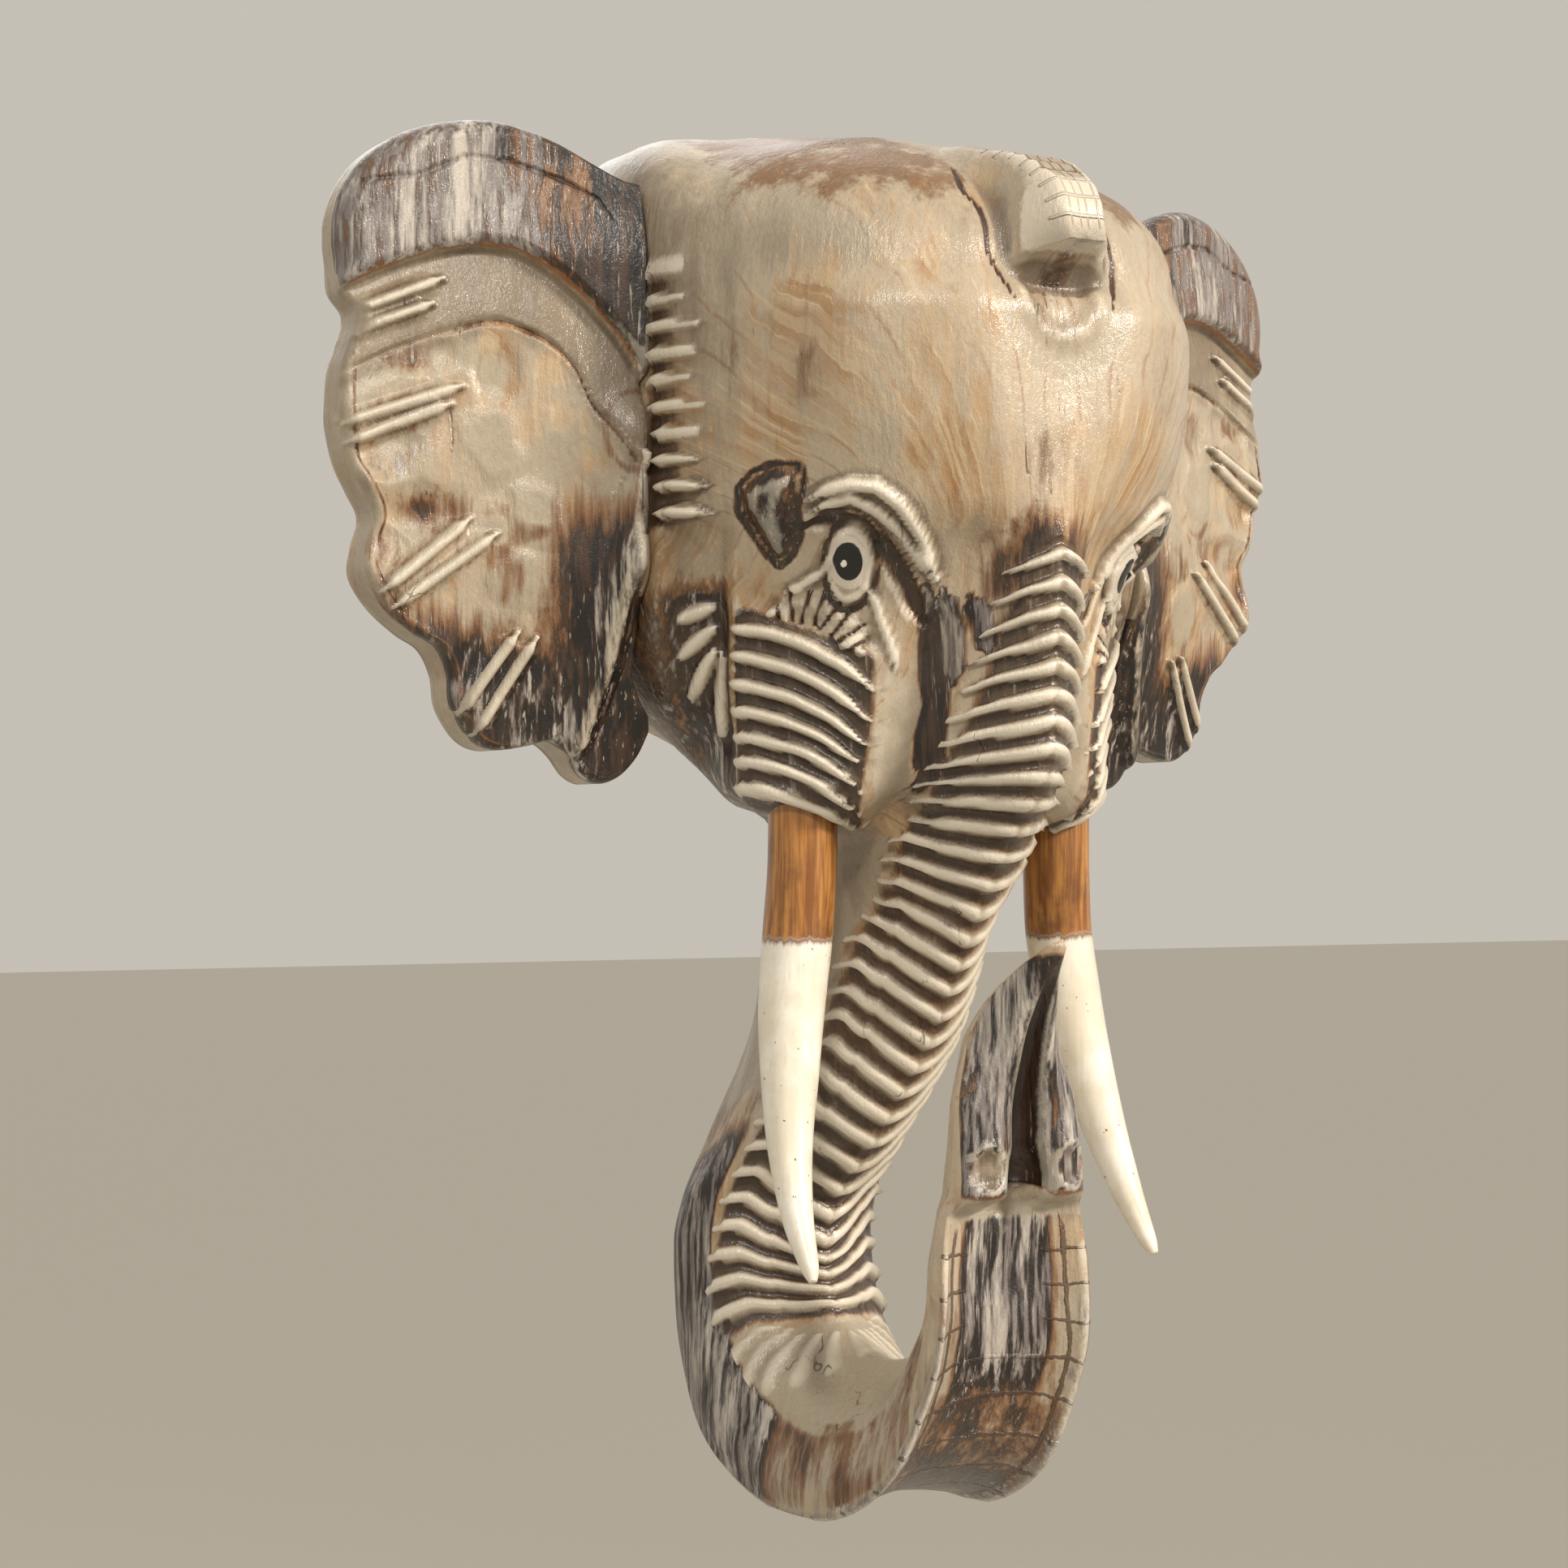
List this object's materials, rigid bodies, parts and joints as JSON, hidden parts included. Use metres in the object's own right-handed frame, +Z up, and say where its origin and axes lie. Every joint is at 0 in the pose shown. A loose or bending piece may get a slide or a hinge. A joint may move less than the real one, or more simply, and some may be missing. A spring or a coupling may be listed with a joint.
{
  "type": "elephant head wall hanging",
  "caption": "Carved wooden elephant head for a wall, with spread ears, inset tusks and a fluted trunk that curls up into a hook.",
  "frame": {"origin": "on the flat back face, on the centre line, at the height where the piece hangs", "axes": "+X to the right seen from the front, +Y out of the flat back into the wall, +Z up"},
  "size_m": [0.4518, 0.2121, 0.5624],
  "materials": {
    "head_wood": "whitewashed, burnt and rubbed light wood under satin lacquer",
    "ear_wood": "whitewashed, burnt and rubbed light wood under satin lacquer",
    "tusk_paint": "cream white paint, stained brown at the root, under gloss lacquer"
  },
  "bodies": {
    "root": {"head_and_trunk": "head_wood", "ear_left": "ear_wood", "ear_right": "ear_wood", "tusk_left": "tusk_paint", "tusk_right": "tusk_paint"}
  },
  "joints": []
}
